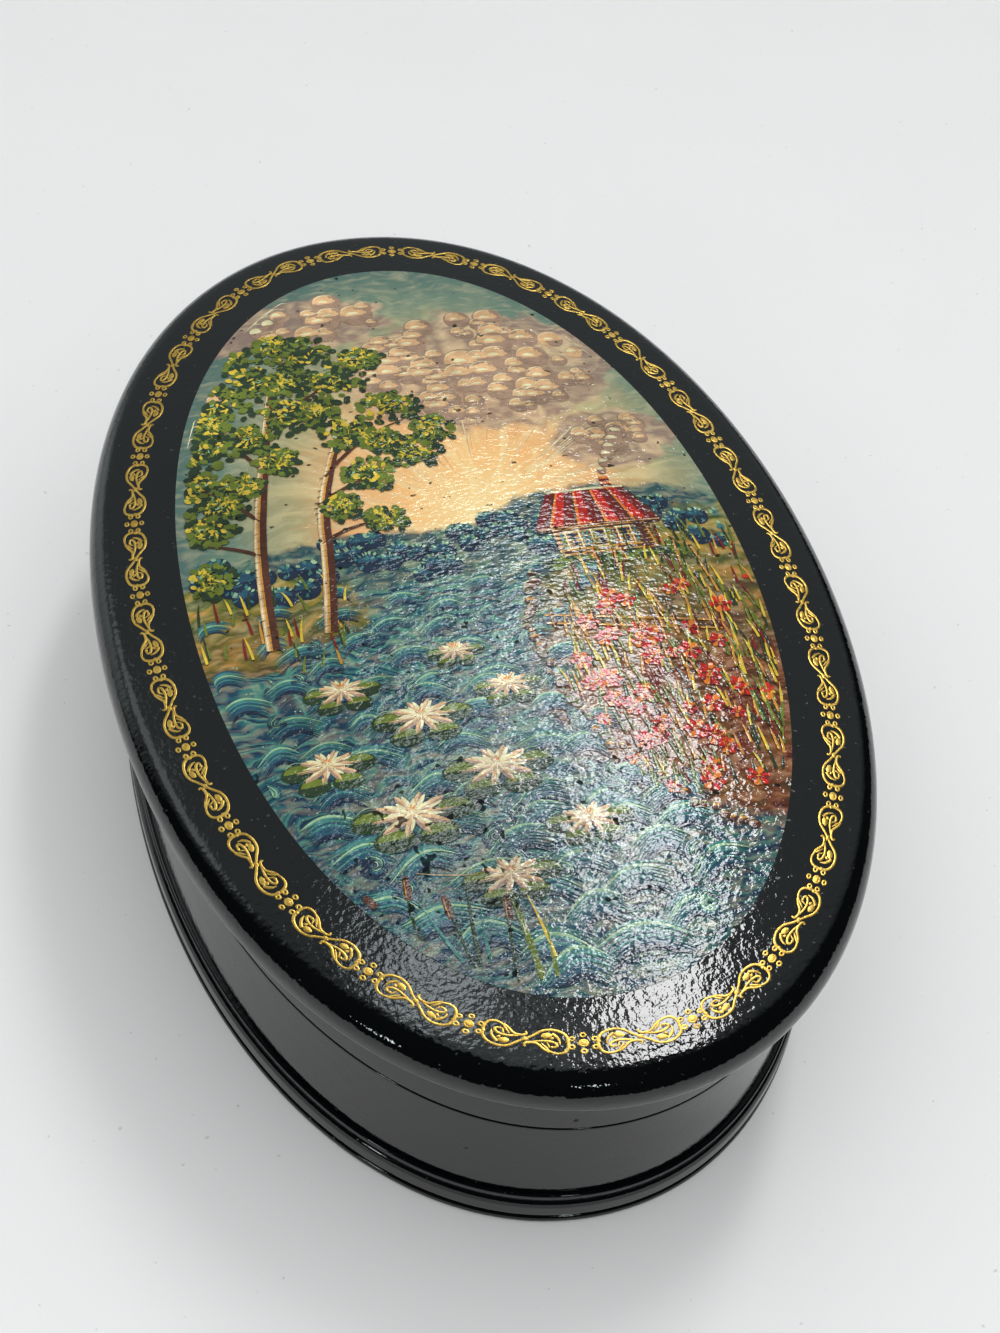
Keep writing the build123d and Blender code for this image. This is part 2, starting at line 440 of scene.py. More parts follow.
section = [ring(wall_inner_inset, wall_low.z), ring(wall_inset, wall_low.z)]
section += [ring(wall_inset, wall_high.z - groove_reach)]
section += arc(wall_inset + seam_round, wall_high.z - seam_round, seam_round, 0, 90, 4)
section += [ring(wall_inner_inset, wall_high.z)]
body_wall = oval_piece("body_wall_smooth", section, closed=True)
groove = hinge_groove()
cut(body_wall, groove)
wall_chips = [((-16.86, -65.73, 13.58), 0.5), ((-15.9, -65.9, 13.2), 0.3)]  # place and size in mm
wall_lacquer = black_lacquer("wall_black_lacquer", wall_chips)
finish_piece(body_wall, wall_lacquer, "body", "black_lacquer", "body_wall")

# The liner is a thin red-lacquered tube inside the wall; its rounded top stands over the seam as
# the lip that the lid closes round.
liner_low, liner_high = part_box("inner_liner")
liner_inset = half_width - liner_high.x
liner_thickness = 1.4 * mm
liner_inner_inset = liner_inset + liner_thickness
lip_round = 0.45 * mm


def streaked(place, scale, turn=0.0):
    """Coordinates stretched along the axes, on which a noise runs in streaks."""
    sockets = {"Vector": place, "Rotation": (0, 0, turn), "Scale": scale}
    return shade(place.tree, "ShaderNodeMapping", {}, **sockets)


def red_lacquer(name):
    """Warm red lacquer brushed on by hand: uneven depth, brush lines and a soft gloss."""
    material, place = new_material(name)
    cloud = noise(place, 45.0, detail=4.0)
    streak = streaked(place, (1.0, 0.08, 1.0))
    brush = noise(streak, 1400.0, detail=2.0)
    dust = noise(place, 1700.0, detail=1.0)
    colour = mix(cloud, (0.30, 0.013, 0.008), (0.47, 0.035, 0.018))
    colour = mix(brush * 0.35, colour, (0.22, 0.008, 0.006))
    colour = mix(dust.above(0.78, 0.03) * 0.4, colour, (0.1, 0.02, 0.015))
    rough = cloud * 0.08 + brush * 0.05 + 0.1
    bump = relief(0.15, 0.15 * mm, brush * 0.5 + cloud)
    surface(material, Base_Color=colour, Roughness=rough, Normal=bump)
    return material


section = [ring(liner_inner_inset, liner_low.z), ring(liner_inset, liner_low.z)]
section += arc(liner_inset + lip_round, liner_high.z - lip_round, lip_round, 0, 90, 5)
section += arc(liner_inner_inset - lip_round, liner_high.z - lip_round, lip_round, 90, 180, 5)
liner = oval_piece("inner_liner_smooth", section, closed=True)
finish_piece(liner, red_lacquer("liner_red_lacquer"), "body", "red_lacquer", "inner_liner")

# The bottom board is a flat oval of pressed paper glued in at the foot of the wall, with worn black
# lacquer underneath and a coat of the red lacquer on the floor of the box.
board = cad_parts["bottom_board"]
board_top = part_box("bottom_board")[1].z
material, place = new_material("bottom_board_lacquer")
cloud = noise(place, 45.0, detail=4.0)
rubs = noise(streaked(place, (0.06, 1.0, 1.0)), 900.0, detail=3.0)  # along x
black = mix(rubs.above(0.62, 0.1) * 0.4, (0.005, 0.005, 0.006), (0.03, 0.028, 0.026))
bump = relief(0.12, 0.15 * mm, cloud + rubs * 0.2)
surface(material, Base_Color=black, Roughness=rubs * 0.4 + 0.1, Normal=bump)
board.data.materials.clear()
board.data.materials.append(material)
coat_depth = 0.06 * mm
pole_share = 0.02  # of a dome's reach, where its last ring stands


def dome(half_wide, half_long, base, rise, rings):
    """Stations over a low dome from its foot to a small ring round its top."""
    stations = []
    for step in range(rings + 1):
        share = 1 - (1 - pole_share) * step / rings
        stations.append((half_wide * share, half_long * share, base + rise * (1 - share**2)))
    return stations


wide, long, height = ring(liner_inner_inset, board_top)
section = dome(wide, long, height, 0.0, 3)[::-1] + dome(wide, long, height + coat_depth, 0.0, 3)
floor_coat = oval_piece("floor_red_coat", section, closed=False)
finish_piece(floor_coat, red_lacquer("floor_red_lacquer"), "body", "red_lacquer")

# The plinth is a moulded ring glued round the foot of the wall: a fillet, a wide round moulding and
# a small roll that stands on the table, all in the same black lacquer.
plinth_low, plinth_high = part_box("plinth_moulding")
roll_reach, roll_height, roll_round = 1.25 * mm, 1.3 * mm, 0.6 * mm
round_reach, round_bottom, round_top, round_radius = 1.15 * mm, 0.95 * mm, 4.8 * mm, 1.2 * mm
fillet_reach, fillet_round = 0.6 * mm, 0.4 * mm
roll_meets_round, round_meets_roll, round_meets_fillet = 77, -46, 57  # degrees
roll_middle = wall_inset - roll_reach + roll_round
round_middle = wall_inset - round_reach + round_radius
section = [ring(wall_inset, plinth_low.z)]
section += arc(roll_middle, roll_round, roll_round, -90, 0, 5)
section += arc(roll_middle, roll_height - roll_round, roll_round, 0, roll_meets_round, 5)
section += arc(round_middle, round_bottom + round_radius, round_radius, round_meets_roll, 0, 5)
section += arc(round_middle, round_top - round_radius, round_radius, 0, round_meets_fillet, 7)
fillet_middle = wall_inset - fillet_reach + fillet_round
section += arc(fillet_middle, plinth_high.z - fillet_round, fillet_round, 0, 90, 5)
section += [ring(wall_inset, plinth_high.z)]
plinth = oval_piece("plinth_moulding_smooth", section, closed=True)
plinth_lacquer = black_lacquer("plinth_black_lacquer")
finish_piece(plinth, plinth_lacquer, "body", "black_lacquer", "plinth_moulding")

# The rim of the lid is a band cut from the same wound tube as the wall, so that the two meet in one
# thin dark line.
rim_low, rim_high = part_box("lid_rim")
lip_clearance = 0.3 * mm
rim_inner_inset = liner_inset - lip_clearance
section = [ring(rim_inner_inset, rim_high.z), ring(rim_inner_inset, rim_low.z)]
section += arc(wall_inset + seam_round, rim_low.z + seam_round, seam_round, -90, 0, 4)
section += [ring(wall_inset, rim_low.z + groove_reach), ring(wall_inset, rim_high.z)]
rim = oval_piece("lid_rim_smooth", section, closed=True)
cut(rim, groove)
bpy.data.objects.remove(groove)
rim_chips = [((-6.07, -70.43, 23.57), 0.35)]
rim_lacquer = black_lacquer("rim_black_lacquer", rim_chips)
finish_piece(rim, rim_lacquer, "lid", "black_lacquer", "lid_rim")

# The lid board is pressed over a mould: a rounded edge that overhangs the rim all round, and a low
# dome that carries the gold border and the picture, hollowed to match underneath.
lid_low, lid_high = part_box("lid_board")
edge_top = 36.8 * mm
edge_lower_round, edge_upper_round = 1.0 * mm, 3.2 * mm
edge_drop = 0.06 * mm  # keeps the rounding clear of the dome, so that no flat catches the light
edge_reach = 82  # degrees that the upper rounding turns
dome_inset = edge_upper_round + 0.2 * mm
dome_rise = lid_high.z - edge_top
dome_wide, dome_long = half_width - dome_inset, half_length - dome_inset
recess_clearance, recess_depth, recess_rise = 0.1 * mm, 1.0 * mm, 2.6 * mm
recess_inset = liner_inset - recess_clearance
recess_wide, recess_long, recess_base = ring(recess_inset, lid_low.z + recess_depth)
oval_fullness = 2.07  # 2 is an ellipse


def dome_height(x, y):
    """Height of the lid's domed field at a place on it."""
    across, along = abs(x / dome_wide), abs(y / dome_long)
    share = (across**oval_fullness + along**oval_fullness) ** (1 / oval_fullness)
    return edge_top + dome_rise * (1 - share**2)


section = dome(recess_wide, recess_long, recess_base, recess_rise, 10)[::-1]
section += [(recess_wide, recess_long, lid_low.z)]
section += arc(edge_lower_round, lid_low.z + edge_lower_round, edge_lower_round, -90, 0, 6)
edge_middle = edge_top - edge_drop - edge_upper_round
section += arc(edge_upper_round, edge_middle, edge_upper_round, 0, edge_reach, 16)
section += dome(dome_wide, dome_long, edge_top, dome_rise, 40)
lid_board = oval_piece("lid_board_smooth", section, closed=False)
lid_lacquer = black_lacquer("lid_black_lacquer", unevenness=0.6)
finish_piece(lid_board, lid_lacquer, "lid", "black_lacquer", "lid_board")

# Inside, the lid and its rim wear one coat of the same red lacquer as the box, brushed on from the
# hollow of the lid down to the edge of the rim.
wide, long, height = ring(rim_inner_inset + coat_depth, recess_base - coat_depth)
section = dome(wide, long, height, recess_rise, 10)[::-1]
section += [(wide, long, rim_low.z + seam_round), ring(rim_inner_inset, rim_low.z + seam_round)]
section += dome(wide + coat_depth, long + coat_depth, recess_base, recess_rise, 10)
lid_coat = oval_piece("lid_red_coat", section, closed=False)
finish_piece(lid_coat, red_lacquer("lid_red_lacquer"), "lid", "red_lacquer")

# The border is drawn in gold with a fine brush: pairs of leafy scrolls that mirror each other, with
# a rosette of ringed dots between them, all on one line inside the edge of the lid.
border_inset = 6.04 * mm
border_pairs = 14
border_stroke = 0.44
border_fullness = 1.3  # how much wider across than as drawn
border_start_share = 0.48  # of a unit, from the middle of the hinge side to the first rosette
border_flatness, border_depth = 0.35, 0.045 * mm
gold_skin = 0.02 * mm
coat_gap = 10.0  # millimetres between coats of paint while they are drawn


def new_strokes(name, smoothness=3):
    """An empty set of brush strokes, drawn flat at the origin in millimetres."""
    strokes = bpy.data.curves.new(name, "CURVE")
    strokes.dimensions = "3D"
    strokes.bevel_depth = 1.0
    strokes.bevel_resolution = 0
    strokes.resolution_u = smoothness
    strokes.use_fill_caps = True
    return strokes


def thread(strokes, kind, places, radii, coat=0):
    """One line of paint through places, with its own radius at each."""
    spline = strokes.splines.new(kind)
    spline.points.add(len(places) - 1)
    for point, (x, y), radius in zip(spline.points, places, radii):
        point.co = (x, y, coat * coat_gap, 1)
        point.radius = radius
    return spline


def around(x, y, turn, wide, high=None):
    """The place at an angle on a circle, or on an oval, round another place."""
    return x + wide * math.cos(turn), y + (wide if high is None else high) * math.sin(turn)


def stroke(strokes, places, width, start=0.25, end=0.25, coat=0):
    """One brush stroke along a smooth line, widest in the middle and thin at its ends."""
    radii = []
    for number in range(len(places)):
        share = number / (len(places) - 1)
        tip = start + (end - start) * share
        radii.append(width / 2 * (tip + (1 - tip) * math.sin(math.pi * share)))
    spline = thread(strokes, "NURBS", places, radii, coat)
    spline.order_u = 3
    spline.use_endpoint_u = True


def dot(strokes, x, y, size, stretch=1.0, turn=0.0, coat=0):
    """One touch of the brush: a small bead, or a drop when it is stretched."""
    places = [around(x, y, turn, size / 2 * stretch * along) for along in (-1, -0.45, 0.45, 1)]
    thread(strokes, "POLY", places, [size / 2 * thick for thick in (0.3, 1.0, 1.0, 0.3)], coat)


def circle(strokes, x, y, radius, width, corners=8):
    """A small ring drawn with the tip of the brush."""
    places = [around(x, y, math.tau * corner / corners, radius) for corner in range(corners)]
    thread(strokes, "POLY", places, [width / 2] * corners).use_cyclic_u = True


def as_mesh(strokes):
    """Turns strokes into one mesh object."""
    piece = bpy.data.objects.new(strokes.name, strokes)
    bpy.context.scene.collection.objects.link(piece)
    take(piece)
    bpy.ops.object.convert(target="MESH")
    return bpy.context.object


def lay_on_lid(piece, skin, flatness, most, coat_step=0.0):
    """Flattens strokes to the thickness of paint and lays them on the domed lid, coat over coat."""
    for vertex in piece.data.vertices:
        x, y, z = vertex.co
        coat = round(z / (coat_gap * mm))
        thick = (z - coat * coat_gap * mm) * flatness
        vertex.co.z = dome_height(x, y) + skin + coat * coat_step + max(-most, min(most, thick))
    take(piece)
    bpy.ops.object.shade_smooth()


scroll_strokes = (  # width as a share of the border's stroke, how full both ends are, and places
    ((1, 0.7, 0.8), (
        (-2.7, 1.5), (-3.6, 2.1), (-5.1, 1.5), (-5.1, -1.2), (-3.5, -2.1), (-1.9, -1.85),
        (-0.9, -0.7), (0, 0),
    )),
    ((1, 0.7, 0.6), (
        (-2.9, 1.75), (-2.2, 1.35), (-1.5, 0.5), (-0.7, 0.45), (-0.15, 0.6), (0.1, 0.95),
        (-0.1, 1.25),
    )),
    ((1, 0.6, 0.4), (
        (-3.1, 0.9), (-3.75, 0.95), (-3.75, 0.2), (-2.6, -0.15), (-1.3, 0.15), (-0.5, 0.45),
    )),
    ((1.1, 0.6, 0.2), ((-2.8, 1.5), (-2.5, 1.0), (-1.9, 0.35))),
    ((1, 0.6, 0.2), ((-2.2, 1.2), (-1.7, 0.75), (-1.2, 0.3))),
    ((0.8, 0.5, 0.2), ((-2.9, 1.0), (-2.8, 0.6), (-2.5, 0.1))),
    ((1.1, 0.3, 1.0), ((-4.1, 0.35), (-4.1, -0.75), (-3.1, -1.35))),
)
scroll_beads = (  # place, size and stretch, and the turns that a mirrored scroll mirrors and keeps
    ((-2.45, -0.95), (0.9, 1.5), (0.35, 0)),
    ((-3.1, -0.55), (0.4, 1.6), (0.9, 0)),
    ((-3.15, 0.9), (0.45, 1.0), (0, 0)),
    ((-5.0, -0.2), (0.5, 1.3), (0, 1.5)),
)
gold = new_strokes("gold_border", smoothness=4)
bead_step = 4.1
half_unit = 4.8
bead_size, bead_stretch = 0.68, 1.2
rosette_ring, rosette_heart, ring_line = 0.54, 0.85, 0.34
petals, petal_reach, petal_rise, petal_ring, petal_line = 6, 1.6, 1.36, 0.33, 0.3
for mirror in (1, -1):
    middle = mirror * (half_unit + bead_step / 2)
    for turn in (1, -1):
        for (share, start, end), places in scroll_strokes:
            places = [(middle + mirror * turn * x, turn * y) for x, y in places]
            stroke(gold, places, border_stroke * share, start, end)
        for (x, y), bead, (mirrored_turn, kept_turn) in scroll_beads:
            x, y, facing = middle + mirror * turn * x, turn * y, mirrored_turn * mirror + kept_turn
            dot(gold, x, y, *bead, facing)
    dot(gold, middle, 0, bead_size, bead_stretch)
for rosette in (0, half_unit * 2 + bead_step):
    circle(gold, rosette, 0, rosette_ring, ring_line)
    dot(gold, rosette, 0, rosette_heart)
    for petal in range(petals):
        turn = math.radians(360 / petals * petal + 30)
        petal_x, petal_y = around(rosette, 0, turn, petal_reach, petal_rise)
        circle(gold, petal_x, petal_y, petal_ring, petal_line)
pair_length = 2 * (2 * half_unit + bead_step)
border = as_mesh(gold)
line = draw_oval(128)
line.scale = (*ring(border_inset, 0)[:2], 1)
bpy.ops.object.transform_apply(scale=True)
line_length = line.data.splines[0].calc_length()
fit = line_length / (border_pairs * pair_length)
for vertex in border.data.vertices:
    vertex.co.x += border_start_share * pair_length / 2
    vertex.co *= fit
    vertex.co.y *= border_fullness
take(border)
row = border.modifiers.new("row", "ARRAY")
row.count = border_pairs
row.use_relative_offset = False
row.use_constant_offset = True
row.constant_offset_displace = (pair_length * fit, 0, 0)
border.modifiers.new("follow", "CURVE").object = line
bpy.ops.object.modifier_apply(modifier="row")
bpy.ops.object.modifier_apply(modifier="follow")
bpy.data.objects.remove(line)
lay_on_lid(border, gold_skin, border_flatness, border_depth)
material, place = new_material("border_gold")
cloud = noise(place, 400.0, detail=3.0)
worn = noise(place, 1600.0, detail=2.0)
colour = mix(cloud, (0.48, 0.27, 0.035), (0.76, 0.51, 0.12))
colour = mix(worn.above(0.66, 0.1) * 0.6, colour, (0.34, 0.17, 0.04))
bump = relief(0.6, 0.05 * mm, worn)
surface(material, Base_Color=colour, Metallic=0.88, Roughness=worn * 0.25 + 0.2, Normal=bump)
finish_piece(border, material, "lid", "painting")

# The picture is painted on the black in thin layers under clear lacquer. Its ground holds the broad
# washes: a glowing sky with a cloud bank, far woods, a river that curls round two banks.
picture_wide, picture_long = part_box("painted_ground")[1].xy
worn_place = (-0.017, -0.042, 0.038)  # where most of the lacquer has lifted
worn_reach, worn_fade = 0.006, 0.022
ground_depth = 0.06 * mm
lacquer_tint = (1.0, 0.95, 0.76)  # of clear lacquer that has yellowed


def paint(red, green, blue):
    """A paint, as a screen shows it from 0 to 255, and seen through the lacquer."""
    mixed = [((part / 255 + 0.055) / 1.055) ** 2.4 for part in (red, green, blue)]
    return tuple(part * tint for part, tint in zip(mixed, lacquer_tint))


section = dome(picture_wide, picture_long, -ground_depth / 2, 0.0, 30)[::-1]
section += dome(picture_wide, picture_long, ground_depth, 0.0, 30)
ground = oval_piece("picture_ground", section, closed=False)
lay_on_lid(ground, 0.0, 1.0, 1.0)
material, place = new_material("picture_ground_paint")
tree = material.node_tree
loose = shade(tree, "ShaderNodeTexNoise", {}, Vector=place, Scale=130.0, Detail=3.0, pick=1)
loose = vector_math("SUBTRACT", loose, (0.5, 0.5, 0.5))
loose = vector_math("MULTIPLY", loose, (0.006, 0.006, 0.0))
moved = vector_math("ADD", place, loose)
x = shade(tree, "ShaderNodeSeparateXYZ", {}, moved) * 1000
y = shade(tree, "ShaderNodeSeparateXYZ", {}, moved, pick=1) * 1000
ragged = noise(place, 260.0, detail=4.0)
fine = noise(streaked(moved, (0.35, 1.0, 1.0)), 1100.0, detail=3.0)


def distance_from(middle, reach):
    """Distance from a place in the picture, as a share of an oval reach round it."""
    across, along = (x - middle[0]) / reach[0], (y - middle[1]) / reach[1]
    return (across * across + along * along) ** 0.5


def wash(middle, reach, softness=0.12, rag=0.5):
    """1 inside an oval patch with a ragged brushed edge, 0 outside; places are in millimetres."""
    return 1 - (distance_from(middle, reach) + (ragged - 0.5) * rag).above(1.0, softness)


def puffs(size, dark, light):
    """Rounded curls as a brush lays them: light at the heart, with three rings, dark at the rim."""
    heart = shade(tree, "ShaderNodeTexVoronoi", {"feature": "F1"}, Vector=moved, Scale=1000 / size)
    rings = (heart * 3 * math.tau + ragged * 3).math("SINE")
    return mix((1 - heart * 1.5 + rings * 0.22 + (fine - 0.5) * 0.5).clamped(), dark, light)


def graded(value, *stops):
    """Paints that run into one another along a value; a stop is its position there and a paint."""
    stops = [(position, paint(*mixed)) for position, *mixed in stops]
    return shade(tree, "ShaderNodeValToRGB", {"stops": stops}, value)


glow = (4.0, 9.0)
far = distance_from(glow, (42.0, 58.0)) + (fine - 0.5) * 0.1 + (ragged - 0.5) * 0.12
sky = graded(
    far,
    (0.0, 255, 230, 180),
    (0.22, 250, 200, 142),
    (0.42, 232, 180, 134),
    (0.6, 168, 164, 132),
    (0.8, 104, 134, 128),
    (1.0, 70, 104, 112),
)
turn = (y - glow[1]).math("ARCTAN2", x - glow[0])
beam = shade(tree, "ShaderNodeCombineXYZ", {}, turn, far * 0.25)
beams = noise(beam, 11.0, detail=2.0).above(0.54, 0.16) * (1 - far.above(0.6, 0.6)) * 0.5
sky = mix(beams, sky, paint(255, 240, 196))
cloud_bank = wash((11, 38), (20, 13)).or_more(wash((-13, 52), (14, 6)))
cloud_bank = cloud_bank.or_more(wash((26, 21), (9, 6)))
sky = mix(cloud_bank * 0.85, sky, puffs(6.2, paint(146, 122, 122), paint(232, 204, 176)))
woods = wash((-16, 2), (26, 6.5)).or_more(wash((22, 4), (22, 7.5)))
picture = mix(woods, sky, puffs(3.2, paint(40, 74, 92), paint(104, 142, 128)))
current = streaked(moved, (0.55, 1.25, 1.0), 0.35)
flow = noise(current, 75.0, detail=3.0, Distortion=1.6)
bands = (flow * 11).math("FRACT")
water = graded(
    bands,
    (0.0, 16, 42, 74),
    (0.3, 26, 74, 106),
    (0.58, 46, 112, 124),
    (0.8, 88, 146, 138),
    (0.9, 52, 108, 124),
    (1.0, 18, 46, 78),
)
deeper = (-30 - y).above(0.0, 40.0) * 0.5 + (fine - 0.5) * 0.3
water = mix(deeper.clamped(), water, paint(18, 40, 72))
picture = mix((0 - y + (ragged - 0.5) * 5).above(1.5, 1.5), picture, water)
blades = noise(streaked(moved, (0.5, 1.2, 1.0)), 380.0, detail=4.0)
turf = graded(
    blades,
    (0.3, 38, 58, 38),
    (0.45, 78, 98, 48),
    (0.56, 140, 132, 60),
    (0.68, 196, 150, 78),
)
shaded = ((-10 - y).above(0.0, 26.0) * 0.85 + (ragged - 0.5) * 0.8).clamped()
earth = mix(fine.above(0.5, 0.3), paint(70, 20, 20), paint(142, 52, 36))
turf = mix(shaded, turf, earth)
banks = wash((34, -20), (31, 26), 0.1, 0.35).or_more(wash((-33, -3), (19, 8), 0.1, 0.35))
picture = mix(banks, picture, turf)
picture = mix((fine - 0.45).clamped(), picture, paint(232, 222, 190))


def varnish(place, fine):
    """The normal of clear lacquer over paint: pebbled where it sank over the brushwork."""
    pebbles = noise(streaked(place, (0.8, 1.25, 1.0)), 1200.0)
    height = pebbles + noise(place, 300.0, detail=1.0) * 1.2 + fine * 0.2
    return relief(1.0, 0.1 * mm, height)


def painted(material, place, tone, rough, fine):
    """A painted surface under lacquer, with small dull pits where the lacquer has lifted, most of
    them at the near left."""
    pits = noise(place, 760.0, detail=1.0)
    away = vector_math("DISTANCE", place, worn_place, pick=1)
    crowded = 1 - away.above(worn_reach, worn_fade)
    pit = (pits + crowded * 0.13).above(0.735, 0.02)
    sockets = {
        "Base_Color": mix(pit * 0.85, tone, (0.008, 0.01, 0.01)),
        "Roughness": rough + 0.03 + pit * 0.5,
        "Specular_IOR_Level": 0.5 - pit * 0.45,
        "Normal": varnish(place, fine),
    }
    surface(material, **sockets)


painted(material, place, picture, ragged * 0.05, fine)
finish_piece(ground, material, "lid", "painting", "painted_ground")

# Over the washes everything is drawn in small strokes of fifteen paints, coat over coat from the
# far things to the near ones. All the strokes of one paint are one piece.
pot_colours = {
    "deep_blue": (18, 40, 72),
    "mid_blue": (34, 82, 114),
    "teal": (62, 128, 136),
    "pale_green": (148, 190, 162),
    "leaf_dark": (34, 58, 34),
    "leaf_mid": (104, 124, 42),
    "leaf_yellow": (222, 198, 66),
    "brown": (84, 44, 30),
    "ochre": (204, 150, 66),
    "dark_red": (118, 20, 18),
    "red": (206, 36, 24),
    "orange": (238, 130, 50),
    "mauve": (168, 142, 130),
    "peach": (226, 188, 152),
    "cream": (246, 234, 204),
}
pots = {name: new_strokes("paint_" + name) for name in pot_colours}
hand = random.Random(11)
picture_margin = 0.985  # how far out paint may go, as a share of the picture's half axes
least_pull = 0.95  # a stroke that would have to be drawn in to less of its reach is left out
coat = 0


def within(x, y):
    """How far out in the picture a place lies: 1 at its edge."""
    return math.hypot(x * mm / picture_wide, y * mm / picture_long)


def brush(pot, places, width, start=0.2, end=0.2, over=0):
    """One stroke of a pot's paint, drawn in a little or left out where it would leave the
    picture."""
    inside = [min(1.0, picture_margin / max(within(x, y), 0.01)) for x, y in places]
    if min(inside) >= least_pull:
        places = [(x * pull, y * pull) for (x, y), pull in zip(places, inside)]
        stroke(pots[pot], places, width, start, end, coat + over)


def dab(pot, x, y, size, stretch=1.6, turn=0.0, over=0):
    """One dab of a pot's paint, left out where it would leave the picture."""
    if within(x, y) < picture_margin - 0.02:
        dot(pots[pot], x, y, size, stretch, turn, coat + over)


def blob(pot, x, y, radius, over=0, squash=1.0):
    """A round patch of a pot's paint, left out where it would leave the picture."""
    if within(x, y) <= picture_margin - radius * 0.028:
        turns = [math.pi * number / 8 for number in range(9)]
        places = [(x - radius * math.cos(turn), y) for turn in turns]
        radii = [radius * squash * math.sin(turn) + 0.02 for turn in turns]
        thread(pots[pot], "POLY", places, radii, coat + over)


def curl(pot, x, y, size, facing, width, turns, over):
    """A stroke that winds in on itself; turns below zero wind the other way."""
    count = int(abs(turns) * 7) + 2
    shares = [number / (count - 1) for number in range(count)]
    places = [
        around(x, y, facing + turns * math.tau * share, size * (1 - 0.86 * share))
        for share in shares
    ]
    brush(pot, places, width, 0.3, 0.5, over)


def bow(pot, x, y, radius, first, last, width, over=0):
    """A stroke along part of a circle, by angle in degrees."""
    turns = [math.radians(first + (last - first) * step / 5) for step in range(6)]
    brush(pot, [around(x, y, turn, radius) for turn in turns], width, 0.1, 0.1, over)


# Clouds: beams of light that fan out from the glow, and over them clusters of round puffs that
# don't cover each other's hearts, shaded in mauve below and lit in cream above.
for number in range(60):
    turn = hand.uniform(0.1, math.pi - 0.1)
    near, reach = hand.uniform(7, 15), hand.uniform(5, 14)
    places = [around(*glow, turn, near + reach * share) for share in (0, 0.5, 1)]
    brush("cream" if number % 3 else "peach", places, 0.2, 0.1, 0.1)
cloud_clusters = (  # middle, reach and number of puffs
    ((12, 39), (17, 11), 70),
    ((-13, 53), (13, 5), 22),
    ((26, 21), (6, 4), 9),
    ((-29, 36), (4, 6), 6),
)
tries_to_a_puff, least_gap_share = 6, 0.72
for middle, (wide, high), count in cloud_clusters:
    puffs_drawn = []
    for number in range(count * tries_to_a_puff):
        turn, away = hand.uniform(0, math.tau), hand.random() ** 0.5
        x, y = around(*middle, turn, wide * away, high * away)
        puff = hand.uniform(1.3, 3.3) * (1.15 - 0.45 * away)
        clear = all(
            math.hypot(x - other_x, y - other_y) > least_gap_share * max(puff, other)
            for other_x, other_y, other in puffs_drawn
        )
        if clear and len(puffs_drawn) < count:
            puffs_drawn.append((x, y, puff))
    for x, y, puff in sorted(puffs_drawn, key=lambda drawn: -drawn[1]):
        coat += 1
        blob("mauve", x, y, puff, 0)
        blob("peach", x - 0.1 * puff, y + 0.12 * puff, puff * 0.8, 1)
        blob("mauve", x + 0.12 * puff, y - 0.1 * puff, puff * 0.6, 2)
        blob("peach", x - 0.06 * puff, y + 0.02 * puff, puff * 0.56, 3)
        blob("cream", x - 0.16 * puff, y + 0.16 * puff, puff * 0.34, 4)
        bow("cream", x, y, puff * 0.9, 50, 170, 0.16, 4)

# Far woods: rounded crowns along the skyline in two rows, laid in dark blue and touched in with
# green where the glow lights them.
for row in range(2):
    coat += 4
    for number in range(30):
        x = -35 + 70 * (number + 0.5 * row) / 29 + hand.uniform(-0.8, 0.8)
        y = 5.5 - 3.0 * row + 2.2 * math.sin(x * 0.32) + hand.uniform(-1, 1)
        size = hand.uniform(1.2, 1.9)
        blob("deep_blue", x, y, size, 0)
        blob("mid_blue", x - 0.2, y + 0.3, size * 0.76, 1)
        for touch in range(6):
            turn, reach = hand.uniform(0, math.tau), size * hand.uniform(0.2, 0.9)
            dab("teal", *around(x, y + 0.3, turn, reach), 0.55, 1.3, turn, 2)
        for touch in range(5):
            turn = hand.uniform(0.5, 2.8)
            dab("pale_green", *around(x, y, turn, size * 0.8, size * 0.95), 0.4, 1.5, turn, 3)

